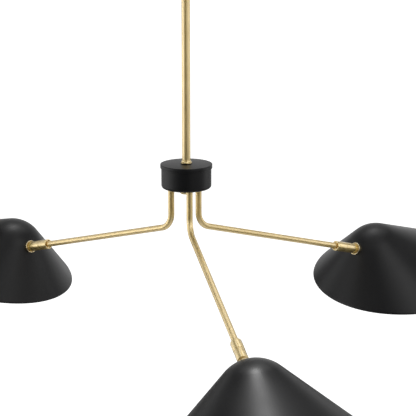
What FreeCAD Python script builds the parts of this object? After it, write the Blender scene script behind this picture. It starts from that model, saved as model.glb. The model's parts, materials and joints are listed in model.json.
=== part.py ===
import FreeCAD, Part
import math
import os
import Sketcher

from FreeCAD import Matrix, Placement, Rotation, Vector

# Three-arm chandelier, in millimetres. +Z is up. The origin is in the ceiling plane, on the axis of the rod.

document = FreeCAD.newDocument("Chandelier")
sheet = document.addObject("Spreadsheet::Sheet", "Sizes")

# Driving dimensions: alias, value, what it is

drivingSizes = [
    ("boxScrewSpacing", 88.9, "between the two screws of the ceiling box"),
    ("boxScrewHole", 4.8, "diameter of a screw hole in the crossbar"),
    ("crossbarEndGap", 3.8, "between each end of the crossbar and the canopy's wall"),
    ("crossbarWidth", 20, "across"),
    ("crossbarThickness", 2.5, "sheet"),
    ("crossbarDrop", 9, "ceiling to the lowered middle's top face"),
    ("crossbarMiddle", 36, "length of the lowered middle"),
    ("canopyDiameter", 120, "outside"),
    ("canopyHeight", 28, "ceiling to the underside"),
    ("canopyWall", 1.2, "sheet"),
    ("canopyCorner", 5, "outer radius of the lower edge"),
    ("canopyCollarDiameter", 20, "outside"),
    ("canopyCollarHeight", 9, "along the rod"),
    ("nutWidth", 15, "across the flats of the hexagon nuts"),
    ("nutThickness", 4, "along the thread"),
    ("nippleDiameter", 10, "threaded tubes, outside"),
    ("nippleBore", 7, "threaded tubes, inside"),
    ("nippleGrip", 14, "length of a threaded tube inside the rod"),
    ("rodDiameter", 13.3, "outside"),
    ("rodBore", 10.1, "inside"),
    ("rodLength", 400, "tube"),
    ("rodTopDepth", 16, "ceiling to the rod's top end"),
    ("rodCollarDiameter", 17.6, "flared foot"),
    ("rodCollarHeight", 4.8, "flared foot"),
    ("rodCollarBead", 2.6, "height of the foot's bead"),
    ("washerDiameter", 16.4, "between collar and lid"),
    ("washerThickness", 1, "between collar and lid"),
    ("lidDiameter", 82, "outside"),
    ("lidHeight", 6.4, "top face to the edge of the skirt"),
    ("lidPlate", 1.6, "thickness of the top"),
    ("lidEdge", 0.8, "radius of the lid's upper edge"),
    ("hubDiameter", 79, "outside of the cup"),
    ("hubHeight", 38.6, "lid's top face to the cup's underside"),
    ("hubWall", 1.6, "side of the cup"),
    ("hubFloor", 2, "floor of the cup"),
    ("hubCorner", 4.8, "outer radius of the cup's lower edge"),
    ("finialDiameter", 21, "cap nut"),
    ("finialHeight", 9.7, "cap nut"),
    ("finialEdge", 3.4, "radius of the cap nut's lower edge"),
    ("finialThreadDepth", 7, "threaded tube inside the cap nut"),
    ("exitRadius", 25.5, "hub axis to the axis of an arm's leg"),
    ("exitTurnAngle", 11.9, "degrees, from the even thirds to the exits"),
    ("bushDiameter", 14, "in the cup's floor"),
    ("bushFlangeDiameter", 18, "above the floor"),
    ("bushFlangeThickness", 1.5, "above the floor"),
    ("stopCollarDiameter", 17, "on top of the leg"),
    ("stopCollarHeight", 7, "on top of the leg"),
    ("armDiameter", 10, "tube"),
    ("armWall", 1, "tube"),
    ("armLegLength", 64.9, "cup's underside to the corner of the bend"),
    ("armBendRadius", 27, "centre line"),
    ("armSlopeAngle", 15.9, "degrees below level"),
    ("armReach", 305.7, "corner of the bend to the sleeve's mouth"),
    ("armInsert", 8.5, "end of the tube inside the sleeve"),
    ("sleeveDiameter", 17, "outside"),
    ("sleeveLength", 21, "mouth to the seam"),
    ("sleeveMouth", 13.4, "diameter of the recess round the tube"),
    ("sleeveMouthDepth", 2.5, "recess round the tube"),
    ("sleeveMouthEdge", 1.2, "radius of the mouth's rim"),
    ("swivelDiameter", 16.4, "outside"),
    ("swivelStraight", 22, "length of the swivel's straight part"),
    ("swivelNeck", 14, "diameter where the ball begins"),
    ("swivelWireBore", 5, "through the swivel"),
    ("spindleDiameter", 8, "swivel's spindle in the sleeve"),
    ("spindleThread", 6, "thread behind the spindle"),
    ("swivelNutDiameter", 9.6, "nut on the spindle's thread"),
    ("swivelNutThickness", 2, "nut on the spindle's thread"),
    ("ballDiameter", 18, "end of the swivel"),
    ("ballReach", 49.4, "sleeve's mouth to the centre of the ball"),
    ("ballStandoff", 3.2, "ball's centre outside the ball of the peak"),
    ("ringDiameter", 22, "outside"),
    ("ringDepth", 2.3, "ball's centre to the ring's face"),
    ("ringEdge", 1.6, "radius of the ring's outer edge"),
    ("ringSpigotWall", 1.05, "spigot that goes through the shade"),
    ("ringSpigotEnd", 12, "ball's centre to the end of the spigot"),
    ("saddleDiameter", 28, "inside the shade, behind its wall"),
    ("saddleThickness", 3, "inside the shade, where it is thinnest"),
    ("seatBore", 6, "through the ball's seat"),
    ("carrierDiameter", 25, "cap on the spigot"),
    ("carrierPlate", 3, "end of the cap"),
    ("carrierStem", 6, "threaded stem into the lamp holder"),
    ("holderDiameter", 28, "outside"),
    ("holderLength", 40, "outside"),
    ("holderShoulder", 4, "radius of the holder's rear edge"),
    ("holderFloor", 10, "thickness behind the lamp's base"),
    ("bulbBaseDiameter", 13.9, "screw base"),
    ("bulbBaseLength", 32, "tip to the glass"),
    ("bulbDiameter", 45, "glass"),
    ("bulbNeckDiameter", 17, "glass at the base"),
    ("bulbLength", 78, "tip to the end of the glass"),
    ("bulbWall", 0.9, "glass"),
    ("shadeLength", 352, "edge, in line with the arm"),
    ("shadeWall", 1.0, "sheet"),
    ("noseRadius", 56.8, "rounded peak"),
    ("coneAngle", 47, "degrees, side to the cone's axis"),
    ("coneLeanAngle", 17.4, "degrees, cone's axis from square to the edge's plane"),
    ("runningClearance", 0.05, "radial, in every pivot"),
    ("seatClearance", 0.02, "between pieces that are fastened together"),
    ("faceClearance", 0.1, "between faces that turn on each other"),
]

# How the arms and shades stand in the photograph, in degrees, by arm

armAngles = {"right": 30, "left": 150, "front": 270}
restAngles = [
    ("rightSwingAngle", -4.9, "arm from straight out of its exit"),
    ("rightTiltAngle", -8.6, "shade's outer side down"),
    ("rightRollAngle", 8.2, "shade about the arm"),
    ("rightYawAngle", 5.2, "shade about the vertical"),
    ("leftSwingAngle", -23.9, "arm from straight out of its exit"),
    ("leftTiltAngle", -12.5, "shade's outer side down"),
    ("leftRollAngle", 5.6, "shade about the arm"),
    ("leftYawAngle", -5.5, "shade about the vertical"),
    ("frontSwingAngle", 1.4, "arm from straight out of its exit"),
    ("frontTiltAngle", 5.2, "shade's outer side down"),
    ("frontRollAngle", 4.8, "shade about the arm"),
    ("frontYawAngle", 2.3, "shade about the vertical"),
]

for row, (alias, value, note) in enumerate(drivingSizes + restAngles, start=1):
    sheet.set("A%d" % row, note)
    sheet.set("B%d" % row, str(value))
    sheet.setAlias("B%d" % row, alias)
document.recompute()


def size(alias):
    return float(sheet.get(alias))


# Modelling helpers

parts = []


def keep(piece, label, placement):
    piece.Label = label
    piece.Placement = placement
    parts.append(piece)
    return piece


def originPlane(body, role):
    return next(feature for feature in body.Origin.OriginFeatures if feature.Role == role)


def newSketch(body, name, role):
    sketch = body.newObject("Sketcher::SketchObject", name)
    sketch.AttachmentSupport = [(originPlane(body, role), "")]
    sketch.MapMode = "FlatFace"
    return sketch


def sketchPoint(sketch, x, y):
    return Vector(float(sketch.evalExpression(x)), float(sketch.evalExpression(y)), 0)


def bindPoint(sketch, geometry, end, x, y):
    # Holds one end of a line or arc at two expressions of the sheet's sizes
    for kind, expression in (("DistanceX", x), ("DistanceY", y)):
        value = float(sketch.evalExpression(expression))
        index = sketch.addConstraint(Sketcher.Constraint(kind, -1, 1, geometry, end, value))
        sketch.setExpression("Constraints[%d]" % index, expression)


def bindRadius(sketch, geometry, expression):
    value = float(sketch.evalExpression(expression))
    index = sketch.addConstraint(Sketcher.Constraint("Radius", geometry, value))
    sketch.setExpression("Constraints[%d]" % index, expression)


def arcBetween(start, end, radius, turnsLeft):
    # The short arc from start to end, and whether it runs against its own direction
    chord = end - start
    middle = (start + end) * 0.5
    normal = Vector(-chord.y, chord.x, 0).normalize()
    offset = math.sqrt(max(radius ** 2 - chord.Length ** 2 / 4, 0))
    centre = middle + normal * (offset if turnsLeft else -offset)
    first, last = (start, end) if turnsLeft else (end, start)
    firstAngle = math.atan2(first.y - centre.y, first.x - centre.x)
    lastAngle = math.atan2(last.y - centre.y, last.x - centre.x)
    if lastAngle < firstAngle:
        lastAngle += 2 * math.pi
    circle = Part.Circle(centre, Vector(0, 0, 1), radius)
    return Part.ArcOfCircle(circle, firstAngle, lastAngle), not turnsLeft


def outline(body, name, corners, role="XZ_Plane", closed=True):
    # Corners are (x, y), or (x, y, "left" or "right", radius) where an arc runs on to the next corner
    sketch = newSketch(body, name, role)
    points = [sketchPoint(sketch, corner[0], corner[1]) for corner in corners]
    count = len(corners) if closed else len(corners) - 1
    ends = []
    for index in range(count):
        corner = corners[index]
        start = points[index]
        end = points[(index + 1) % len(corners)]
        if len(corner) == 2:
            sketch.addGeometry(Part.LineSegment(start, end), False)
            ends.append((1, 2))
        else:
            radius = float(sketch.evalExpression(corner[3]))
            arc, backwards = arcBetween(start, end, radius, corner[2] == "left")
            sketch.addGeometry(arc, False)
            ends.append((2, 1) if backwards else (1, 2))
    for index in range(count):
        following = index + 1
        if following == count and closed:
            following = 0
        if following < count:
            joint = Sketcher.Constraint("Coincident", index, ends[index][1], following, ends[following][0])
            sketch.addConstraint(joint)
    for index in range(count):
        bindPoint(sketch, index, ends[index][0], corners[index][0], corners[index][1])
        if len(corners[index]) == 4:
            bindRadius(sketch, index, corners[index][3])
    if not closed:
        bindPoint(sketch, count - 1, ends[count - 1][1], corners[count][0], corners[count][1])
    return sketch


def circles(body, name, rings, role="XY_Plane"):
    # Rings are (x, y, radius)
    sketch = newSketch(body, name, role)
    for index, (x, y, radius) in enumerate(rings):
        centre = sketchPoint(sketch, x, y)
        circle = Part.Circle(centre, Vector(0, 0, 1), float(sketch.evalExpression(radius)))
        sketch.addGeometry(circle, False)
        bindPoint(sketch, index, 3, x, y)
        bindRadius(sketch, index, radius)
    return sketch


def turning(label, corners):
    # A piece made on the lathe: its outline is (radius, height) about its own Z axis
    body = document.addObject("PartDesign::Body", label)
    sketch = outline(body, label + "_outline", corners)
    revolution = body.newObject("PartDesign::Revolution", label + "_turning")
    revolution.Profile = sketch
    revolution.ReferenceAxis = (sketch, ["V_Axis"])
    revolution.Angle = 360
    return body


def turned(label, corners, placement):
    return keep(turning(label, corners), label, placement)


def fitted(kind, label, blank, tool, placement):
    # A blank cut to the form of another shape
    piece = document.addObject(kind, label)
    form = document.addObject("Part::Feature", label + "_form")
    form.Shape = tool
    piece.Base = blank
    piece.Tool = form
    return keep(piece, label, placement)


def hexagonNut(label, placement):
    prism = document.addObject("Part::Prism", label + "_blank")
    prism.Polygon = 6
    prism.setExpression("Circumradius", "Sizes.nutWidth / sqrt(3)")
    prism.setExpression("Height", "Sizes.nutThickness")
    bore = document.addObject("Part::Cylinder", label + "_bore")
    bore.setExpression("Radius", "Sizes.nippleDiameter / 2 + Sizes.seatClearance")
    bore.setExpression("Height", "Sizes.nutThickness")
    nut = document.addObject("Part::Cut", label)
    nut.Base = prism
    nut.Tool = bore
    return keep(nut, label, placement)


def tubeCorners(outer, inner, length):
    return [(inner, "0"), (outer, "0"), (outer, length), (inner, length)]


# Heights of the fixed pieces on the axis

rodTop = -size("rodTopDepth")
rodFoot = rodTop - size("rodLength")
lidTop = rodFoot - size("washerThickness")
hubBottom = lidTop - size("hubHeight")
crossbarTop = -size("crossbarDrop")
crossbarUnderside = crossbarTop - size("crossbarThickness")


def atHeight(height):
    return Placement(Vector(0, 0, height), Rotation())


# Ceiling pieces

slopeShift = "(sqrt(2) - 1) * Sizes.crossbarThickness"
crossbarEnd = "(Sizes.canopyDiameter / 2 - Sizes.canopyWall - Sizes.crossbarEndGap)"
crossbarCorners = [
    ("-" + crossbarEnd, "0"),
    ("-Sizes.crossbarMiddle / 2 - Sizes.crossbarDrop", "0"),
    ("-Sizes.crossbarMiddle / 2", "-Sizes.crossbarDrop"),
    ("Sizes.crossbarMiddle / 2", "-Sizes.crossbarDrop"),
    ("Sizes.crossbarMiddle / 2 + Sizes.crossbarDrop", "0"),
    (crossbarEnd, "0"),
    (crossbarEnd, "-Sizes.crossbarThickness"),
    ("Sizes.crossbarMiddle / 2 + Sizes.crossbarDrop + " + slopeShift, "-Sizes.crossbarThickness"),
    ("Sizes.crossbarMiddle / 2 + " + slopeShift, "-Sizes.crossbarDrop - Sizes.crossbarThickness"),
    ("-Sizes.crossbarMiddle / 2 - " + slopeShift, "-Sizes.crossbarDrop - Sizes.crossbarThickness"),
    ("-Sizes.crossbarMiddle / 2 - Sizes.crossbarDrop - " + slopeShift, "-Sizes.crossbarThickness"),
    ("-" + crossbarEnd, "-Sizes.crossbarThickness"),
]


def makeCrossbar():
    body = document.addObject("PartDesign::Body", "crossbar")
    bar = body.newObject("PartDesign::Pad", "crossbar_bar")
    bar.Profile = outline(body, "crossbar_outline", crossbarCorners)
    bar.Midplane = True
    bar.setExpression("Length", "Sizes.crossbarWidth")
    document.recompute()
    holes = [
        ("0", "0", "Sizes.nippleDiameter / 2 + Sizes.seatClearance"),
        ("-Sizes.boxScrewSpacing / 2", "0", "Sizes.boxScrewHole / 2"),
        ("Sizes.boxScrewSpacing / 2", "0", "Sizes.boxScrewHole / 2"),
    ]
    drilling = body.newObject("PartDesign::Pocket", "crossbar_holes")
    drilling.Profile = circles(body, "crossbar_hole_circles", holes)
    drilling.Type = "ThroughAll"
    drilling.Midplane = True
    return keep(body, "crossbar", Placement())


def makeCanopy():
    corners = [
        ("Sizes.canopyDiameter / 2 - Sizes.canopyWall", "0"),
        ("Sizes.canopyDiameter / 2 - Sizes.canopyWall", "-Sizes.canopyHeight + Sizes.canopyCorner",
         "right", "Sizes.canopyCorner - Sizes.canopyWall"),
        ("Sizes.canopyDiameter / 2 - Sizes.canopyCorner", "-Sizes.canopyHeight + Sizes.canopyWall"),
        ("Sizes.rodDiameter / 2 + Sizes.seatClearance", "-Sizes.canopyHeight + Sizes.canopyWall"),
        ("Sizes.rodDiameter / 2 + Sizes.seatClearance", "-Sizes.canopyHeight"),
        ("Sizes.canopyDiameter / 2 - Sizes.canopyCorner", "-Sizes.canopyHeight",
         "left", "Sizes.canopyCorner"),
        ("Sizes.canopyDiameter / 2", "-Sizes.canopyHeight + Sizes.canopyCorner"),
        ("Sizes.canopyDiameter / 2", "0"),
    ]
    turned("canopy", corners, Placement())


def makeCanopyCollar():
    # Its lower edge is rounded by a third of its height
    corners = [
        ("Sizes.rodDiameter / 2 + Sizes.seatClearance", "0"),
        ("Sizes.rodDiameter / 2 + Sizes.seatClearance", "-Sizes.canopyCollarHeight"),
        ("Sizes.canopyCollarDiameter / 2 - Sizes.canopyCollarHeight / 4", "-Sizes.canopyCollarHeight",
         "left", "Sizes.canopyCollarHeight / 4"),
        ("Sizes.canopyCollarDiameter / 2", "-Sizes.canopyCollarHeight * 3 / 4"),
        ("Sizes.canopyCollarDiameter / 2", "0"),
    ]
    turned("canopy_collar", corners, atHeight(-size("canopyHeight")))


def makeRod():
    nippleTop = crossbarTop + size("nutThickness")
    length = "Sizes.rodTopDepth - Sizes.crossbarDrop + Sizes.nutThickness + Sizes.nippleGrip"
    nippleCorners = tubeCorners("Sizes.nippleDiameter / 2", "Sizes.nippleBore / 2", "-(" + length + ")")
    turned("crossbar_nipple", nippleCorners, atHeight(nippleTop))
    hexagonNut("upper_nut", atHeight(crossbarTop))
    hexagonNut("lower_nut", atHeight(crossbarUnderside - size("nutThickness")))
    rodCorners = tubeCorners("Sizes.rodDiameter / 2", "Sizes.rodBore / 2", "-Sizes.rodLength")
    turned("downrod", rodCorners, atHeight(rodTop))


# Hub

def makeRodCollar():
    # A bead at the foot and a hollow curve up to the rod
    hollow = "(Sizes.rodCollarHeight - Sizes.rodCollarBead)"
    corners = [
        ("Sizes.rodDiameter / 2 + Sizes.seatClearance", "0"),
        ("Sizes.rodCollarDiameter / 2 - Sizes.rodCollarBead / 2", "0", "left", "Sizes.rodCollarBead / 2"),
        ("Sizes.rodCollarDiameter / 2", "Sizes.rodCollarBead / 2", "left", "Sizes.rodCollarBead / 2"),
        ("Sizes.rodCollarDiameter / 2 - Sizes.rodCollarBead / 2", "Sizes.rodCollarBead"),
        ("Sizes.rodDiameter / 2 + Sizes.rodCollarBead / 4 + " + hollow + " / 2", "Sizes.rodCollarBead",
         "right", hollow + " * 1.3"),
        ("Sizes.rodDiameter / 2 + Sizes.rodCollarBead / 4", "Sizes.rodCollarHeight"),
        ("Sizes.rodDiameter / 2 + Sizes.seatClearance", "Sizes.rodCollarHeight"),
    ]
    turned("rod_collar", corners, atHeight(rodFoot))
    washer = tubeCorners("Sizes.washerDiameter / 2", "Sizes.nippleDiameter / 2 + Sizes.seatClearance",
                         "-Sizes.washerThickness")
    turned("lid_washer", washer, atHeight(rodFoot))


def makeHubLid():
    corners = [
        ("Sizes.nippleDiameter / 2 + Sizes.seatClearance", "0"),
        ("Sizes.nippleDiameter / 2 + Sizes.seatClearance", "-Sizes.lidPlate"),
        ("Sizes.hubDiameter / 2 + Sizes.seatClearance", "-Sizes.lidPlate"),
        ("Sizes.hubDiameter / 2 + Sizes.seatClearance", "-Sizes.lidHeight"),
        ("Sizes.lidDiameter / 2", "-Sizes.lidHeight"),
        ("Sizes.lidDiameter / 2", "-Sizes.lidEdge", "left", "Sizes.lidEdge"),
        ("Sizes.lidDiameter / 2 - Sizes.lidEdge", "0"),
    ]
    turned("hub_lid", corners, atHeight(lidTop))
    hexagonNut("lid_nut", atHeight(lidTop - size("lidPlate") - size("nutThickness")))


def makeHubCup():
    # Heights are from the cup's underside
    corners = [
        ("Sizes.nippleDiameter / 2 + Sizes.seatClearance", "0"),
        ("Sizes.hubDiameter / 2 - Sizes.hubCorner", "0", "left", "Sizes.hubCorner"),
        ("Sizes.hubDiameter / 2", "Sizes.hubCorner"),
        ("Sizes.hubDiameter / 2", "Sizes.hubHeight - Sizes.lidPlate"),
        ("Sizes.hubDiameter / 2 - Sizes.hubWall", "Sizes.hubHeight - Sizes.lidPlate"),
        ("Sizes.hubDiameter / 2 - Sizes.hubWall", "Sizes.hubCorner", "right",
         "Sizes.hubCorner - Sizes.hubWall"),
        ("Sizes.hubDiameter / 2 - Sizes.hubCorner", "Sizes.hubWall"),
        ("Sizes.hubDiameter / 2 - Sizes.hubCorner", "Sizes.hubFloor"),
        ("Sizes.nippleDiameter / 2 + Sizes.seatClearance", "Sizes.hubFloor"),
    ]
    placement = Placement(Vector(0, 0, hubBottom), Rotation(Vector(0, 0, 1), size("exitTurnAngle")))
    cup = turned("hub_cup", corners, placement)
    document.recompute()
    plainVolume = cup.Shape.Volume
    exits = []
    for place in armAngles.values():
        x = "Sizes.exitRadius * cos(%d)" % place
        y = "Sizes.exitRadius * sin(%d)" % place
        exits.append((x, y, "Sizes.bushDiameter / 2 + Sizes.seatClearance"))
    drilling = cup.newObject("PartDesign::Pocket", "hub_cup_exits")
    drilling.Profile = circles(cup, "hub_cup_exit_circles", exits)
    drilling.Type = "ThroughAll"
    drilling.Reversed = True
    document.recompute()
    if cup.Shape.Volume >= plainVolume:
        raise RuntimeError("the exits cut nothing out of the hub's floor")


def makeHubTie():
    length = "Sizes.nippleGrip + Sizes.washerThickness + Sizes.hubHeight + Sizes.finialThreadDepth"
    corners = tubeCorners("Sizes.nippleDiameter / 2", "Sizes.nippleBore / 2", "-(" + length + ")")
    turned("tie_nipple", corners, atHeight(rodFoot + size("nippleGrip")))


def makeFinial():
    # Hangs below the cup's underside
    corners = [
        ("Sizes.nippleDiameter / 2 + Sizes.seatClearance", "0"),
        ("Sizes.nippleDiameter / 2 + Sizes.seatClearance", "-Sizes.finialThreadDepth - Sizes.seatClearance"),
        ("0", "-Sizes.finialThreadDepth - Sizes.seatClearance"),
        ("0", "-Sizes.finialHeight"),
        ("Sizes.finialDiameter / 2 - Sizes.finialEdge", "-Sizes.finialHeight", "left", "Sizes.finialEdge"),
        ("Sizes.finialDiameter / 2", "-Sizes.finialHeight + Sizes.finialEdge"),
        ("Sizes.finialDiameter / 2", "0"),
    ]
    turned("finial", corners, atHeight(hubBottom))


# Arm, from the bush in the hub's floor to the swivel's ball

# The leg stands up through the floor, the bush's flange and the stop collar
legRise = ("(Sizes.hubFloor + Sizes.bushFlangeThickness + Sizes.faceClearance"
           " + Sizes.stopCollarHeight)")


def makeBush(arm, exitPoint):
    corners = [
        ("Sizes.armDiameter / 2 + Sizes.runningClearance", "0"),
        ("Sizes.bushDiameter / 2", "0"),
        ("Sizes.bushDiameter / 2", "Sizes.hubFloor"),
        ("Sizes.bushFlangeDiameter / 2", "Sizes.hubFloor"),
        ("Sizes.bushFlangeDiameter / 2", "Sizes.hubFloor + Sizes.bushFlangeThickness"),
        ("Sizes.armDiameter / 2 + Sizes.runningClearance", "Sizes.hubFloor + Sizes.bushFlangeThickness"),
    ]
    turned("hub_bush_" + arm, corners, Placement(exitPoint, Rotation()))


def makeStopCollar(arm, exitPoint):
    corners = tubeCorners("Sizes.stopCollarDiameter / 2", "Sizes.armDiameter / 2 + Sizes.seatClearance",
                          "Sizes.stopCollarHeight")
    rise = size("hubFloor") + size("bushFlangeThickness") + size("faceClearance")
    turned("stop_collar_" + arm, corners, Placement(exitPoint + Vector(0, 0, rise), Rotation()))


def makeArmTube(arm, placement):
    # The top of the leg is the local origin, and the arm runs out along local X
    body = document.addObject("PartDesign::Body", "arm_tube_" + arm)
    bendStart = "(Sizes.armBendRadius * tan((90 - Sizes.armSlopeAngle) / 2))"
    cornerHeight = "-(" + legRise + " + Sizes.armLegLength)"
    reach = "(Sizes.armReach + Sizes.armInsert)"

    def alongSlope(distance):
        across = distance + " * cos(Sizes.armSlopeAngle)"
        height = cornerHeight + " - " + distance + " * sin(Sizes.armSlopeAngle)"
        return across, height

    route = [
        ("0", "0"),
        ("0", cornerHeight + " + " + bendStart, "left", "Sizes.armBendRadius"),
        alongSlope(bendStart),
        alongSlope(reach),
    ]
    spine = outline(body, body.Name + "_route", route, closed=False)
    for kind, name, radius in (("PartDesign::AdditivePipe", "_tube", "Sizes.armDiameter / 2"),
                               ("PartDesign::SubtractivePipe", "_bore",
                                "Sizes.armDiameter / 2 - Sizes.armWall")):
        section = circles(body, body.Name + name + "_section", [("0", "0", radius)])
        pipe = body.newObject(kind, body.Name + name)
        pipe.Profile = section
        pipe.Spine = (spine, [])
        document.recompute()
    return keep(body, "arm_tube_" + arm, placement)


# Heights along the arm's own axis are from the sleeve's mouth
shoulder = "(Sizes.armInsert + Sizes.swivelNutThickness + 6 * Sizes.faceClearance)"


def makeSleeve(arm, placement):
    corners = [
        ("Sizes.sleeveMouth / 2", "0"),
        ("Sizes.sleeveDiameter / 2 - Sizes.sleeveMouthEdge", "0", "left", "Sizes.sleeveMouthEdge"),
        ("Sizes.sleeveDiameter / 2", "Sizes.sleeveMouthEdge"),
        ("Sizes.sleeveDiameter / 2", "Sizes.sleeveLength - 0.4 * Sizes.sleeveMouthEdge"),
        ("Sizes.sleeveDiameter / 2 - 0.4 * Sizes.sleeveMouthEdge", "Sizes.sleeveLength"),
        ("Sizes.spindleDiameter / 2 + Sizes.runningClearance", "Sizes.sleeveLength"),
        ("Sizes.spindleDiameter / 2 + Sizes.runningClearance", shoulder),
        ("Sizes.armDiameter / 2 + Sizes.seatClearance", shoulder),
        ("Sizes.armDiameter / 2 + Sizes.seatClearance", "Sizes.sleeveMouthDepth"),
        ("Sizes.sleeveMouth / 2", "Sizes.sleeveMouthDepth"),
    ]
    turned("arm_sleeve_" + arm, corners, placement)


def makeSwivel(arm, placement):
    ball = "(Sizes.ballDiameter / 2)"
    neckHeight = "Sizes.ballReach - sqrt(" + ball + " ^ 2 - (Sizes.swivelNeck / 2) ^ 2)"
    boreHeight = "Sizes.ballReach + sqrt(" + ball + " ^ 2 - (Sizes.swivelWireBore / 2) ^ 2)"
    seam = "(Sizes.sleeveLength + Sizes.faceClearance)"
    nutEnd = shoulder + " - Sizes.faceClearance - Sizes.swivelNutThickness"
    corners = [
        ("Sizes.swivelWireBore / 2", nutEnd),
        ("Sizes.spindleThread / 2", nutEnd),
        ("Sizes.spindleThread / 2", shoulder),
        ("Sizes.spindleDiameter / 2", shoulder),
        ("Sizes.spindleDiameter / 2", seam),
        ("Sizes.swivelDiameter / 2 - 0.4 * Sizes.sleeveMouthEdge", seam),
        ("Sizes.swivelDiameter / 2", seam + " + 0.4 * Sizes.sleeveMouthEdge"),
        ("Sizes.swivelDiameter / 2", seam + " + Sizes.swivelStraight"),
        ("Sizes.swivelNeck / 2", neckHeight, "left", ball),
        ("Sizes.swivelWireBore / 2", boreHeight),
    ]
    turned("swivel_" + arm, corners, placement)
    nut = [
        ("Sizes.spindleThread / 2 + Sizes.seatClearance", nutEnd),
        ("Sizes.swivelNutDiameter / 2", nutEnd),
        ("Sizes.swivelNutDiameter / 2", shoulder + " - Sizes.faceClearance"),
        ("Sizes.spindleThread / 2 + Sizes.seatClearance", shoulder + " - Sizes.faceClearance"),
    ]
    turned("swivel_nut_" + arm, nut, placement)


# Shade and what it carries. Heights along the ring's axis are from the ball's centre, into the shade.

socket = "(Sizes.ballDiameter / 2 + Sizes.runningClearance)"
spigot = "(" + socket + " + Sizes.ringSpigotWall)"
noseToBall = "(Sizes.noseRadius + Sizes.ballStandoff)"
# Where the ring's and the saddle's rims would touch the outside and the inside of the peak's ball
ringBack = "(" + noseToBall + " - sqrt(Sizes.noseRadius ^ 2 - (Sizes.ringDiameter / 2) ^ 2))"
saddleFront = ("(" + noseToBall + " - sqrt((Sizes.noseRadius - Sizes.shadeWall) ^ 2"
               " - (Sizes.saddleDiameter / 2) ^ 2))")
saddleBack = "(" + saddleFront + " + Sizes.saddleThickness)"
carrierFront = "(" + saddleBack + " + Sizes.seatClearance)"
carrierBack = "(Sizes.ringSpigotEnd + Sizes.seatClearance + Sizes.carrierPlate)"
holderFloorEnd = "(" + carrierBack + " + Sizes.holderFloor)"
bulbTip = "(" + holderFloorEnd + " + Sizes.seatClearance)"


def makeRing(arm, placement):
    # The back of its flange is cut to the outside of the shade
    corners = [
        ("sqrt(" + socket + " ^ 2 - Sizes.ringDepth ^ 2)", "-Sizes.ringDepth", "left", socket),
        (socket, "0"),
        (socket, "Sizes.ringSpigotEnd"),
        (spigot, "Sizes.ringSpigotEnd"),
        (spigot, ringBack + " + Sizes.shadeWall"),
        ("Sizes.ringDiameter / 2", ringBack + " + Sizes.shadeWall"),
        ("Sizes.ringDiameter / 2", "-Sizes.ringDepth + Sizes.ringEdge", "right", "Sizes.ringEdge"),
        ("Sizes.ringDiameter / 2 - Sizes.ringEdge", "-Sizes.ringDepth"),
    ]
    label = "shade_ring_" + arm
    outside = shadeSkin(-size("seatClearance")).cut(ringBore(0))
    outside.transformShape(ringHome().inverse().toMatrix())
    fitted("Part::Cut", label, turning(label + "_blank", corners), outside, placement)


def makeSaddle(arm, placement):
    # Its front is cut to the inside of the shade
    corners = [
        (spigot + " + Sizes.seatClearance", "-Sizes.ringDepth"),
        ("Sizes.saddleDiameter / 2", "-Sizes.ringDepth"),
        ("Sizes.saddleDiameter / 2", saddleBack),
        (spigot + " + Sizes.seatClearance", saddleBack),
    ]
    label = "wall_saddle_" + arm
    inside = shadeSkin(size("shadeWall") + size("seatClearance"))
    inside.transformShape(ringHome().inverse().toMatrix())
    fitted("Part::Common", label, turning(label + "_blank", corners), inside, placement)


def makeBallSeat(arm, placement):
    outer = "(" + socket + " - 2 * Sizes.seatClearance)"
    corners = [
        ("Sizes.seatBore / 2", "sqrt(" + socket + " ^ 2 - (Sizes.seatBore / 2) ^ 2)", "right", socket),
        (outer, "sqrt(" + socket + " ^ 2 - " + outer + " ^ 2)"),
        (outer, "Sizes.ringSpigotEnd"),
        ("Sizes.seatBore / 2", "Sizes.ringSpigotEnd"),
    ]
    turned("ball_seat_" + arm, corners, placement)


def makeCarrier(arm, placement):
    plateFront = "Sizes.ringSpigotEnd + Sizes.seatClearance"
    corners = [
        ("Sizes.seatBore / 2", plateFront),
        (spigot + " + Sizes.seatClearance", plateFront),
        (spigot + " + Sizes.seatClearance", carrierFront),
        ("Sizes.carrierDiameter / 2", carrierFront),
        ("Sizes.carrierDiameter / 2", carrierBack),
        ("Sizes.nippleDiameter / 2", carrierBack),
        ("Sizes.nippleDiameter / 2", carrierBack + " + Sizes.carrierStem"),
        ("Sizes.seatBore / 2", carrierBack + " + Sizes.carrierStem"),
    ]
    turned("holder_carrier_" + arm, corners, placement)


def makeLampHolder(arm, placement):
    rear = carrierBack + " + Sizes.seatClearance"
    mouth = carrierBack + " + Sizes.holderLength"
    corners = [
        ("Sizes.nippleDiameter / 2 + Sizes.seatClearance", rear),
        ("Sizes.holderDiameter / 2 - Sizes.holderShoulder", rear, "left", "Sizes.holderShoulder"),
        ("Sizes.holderDiameter / 2", rear + " + Sizes.holderShoulder"),
        ("Sizes.holderDiameter / 2", mouth),
        ("Sizes.bulbBaseDiameter / 2 + Sizes.seatClearance", mouth),
        ("Sizes.bulbBaseDiameter / 2 + Sizes.seatClearance", holderFloorEnd),
        ("Sizes.nippleDiameter / 2 + Sizes.seatClearance", holderFloorEnd),
    ]
    turned("lamp_holder_" + arm, corners, placement)


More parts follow.
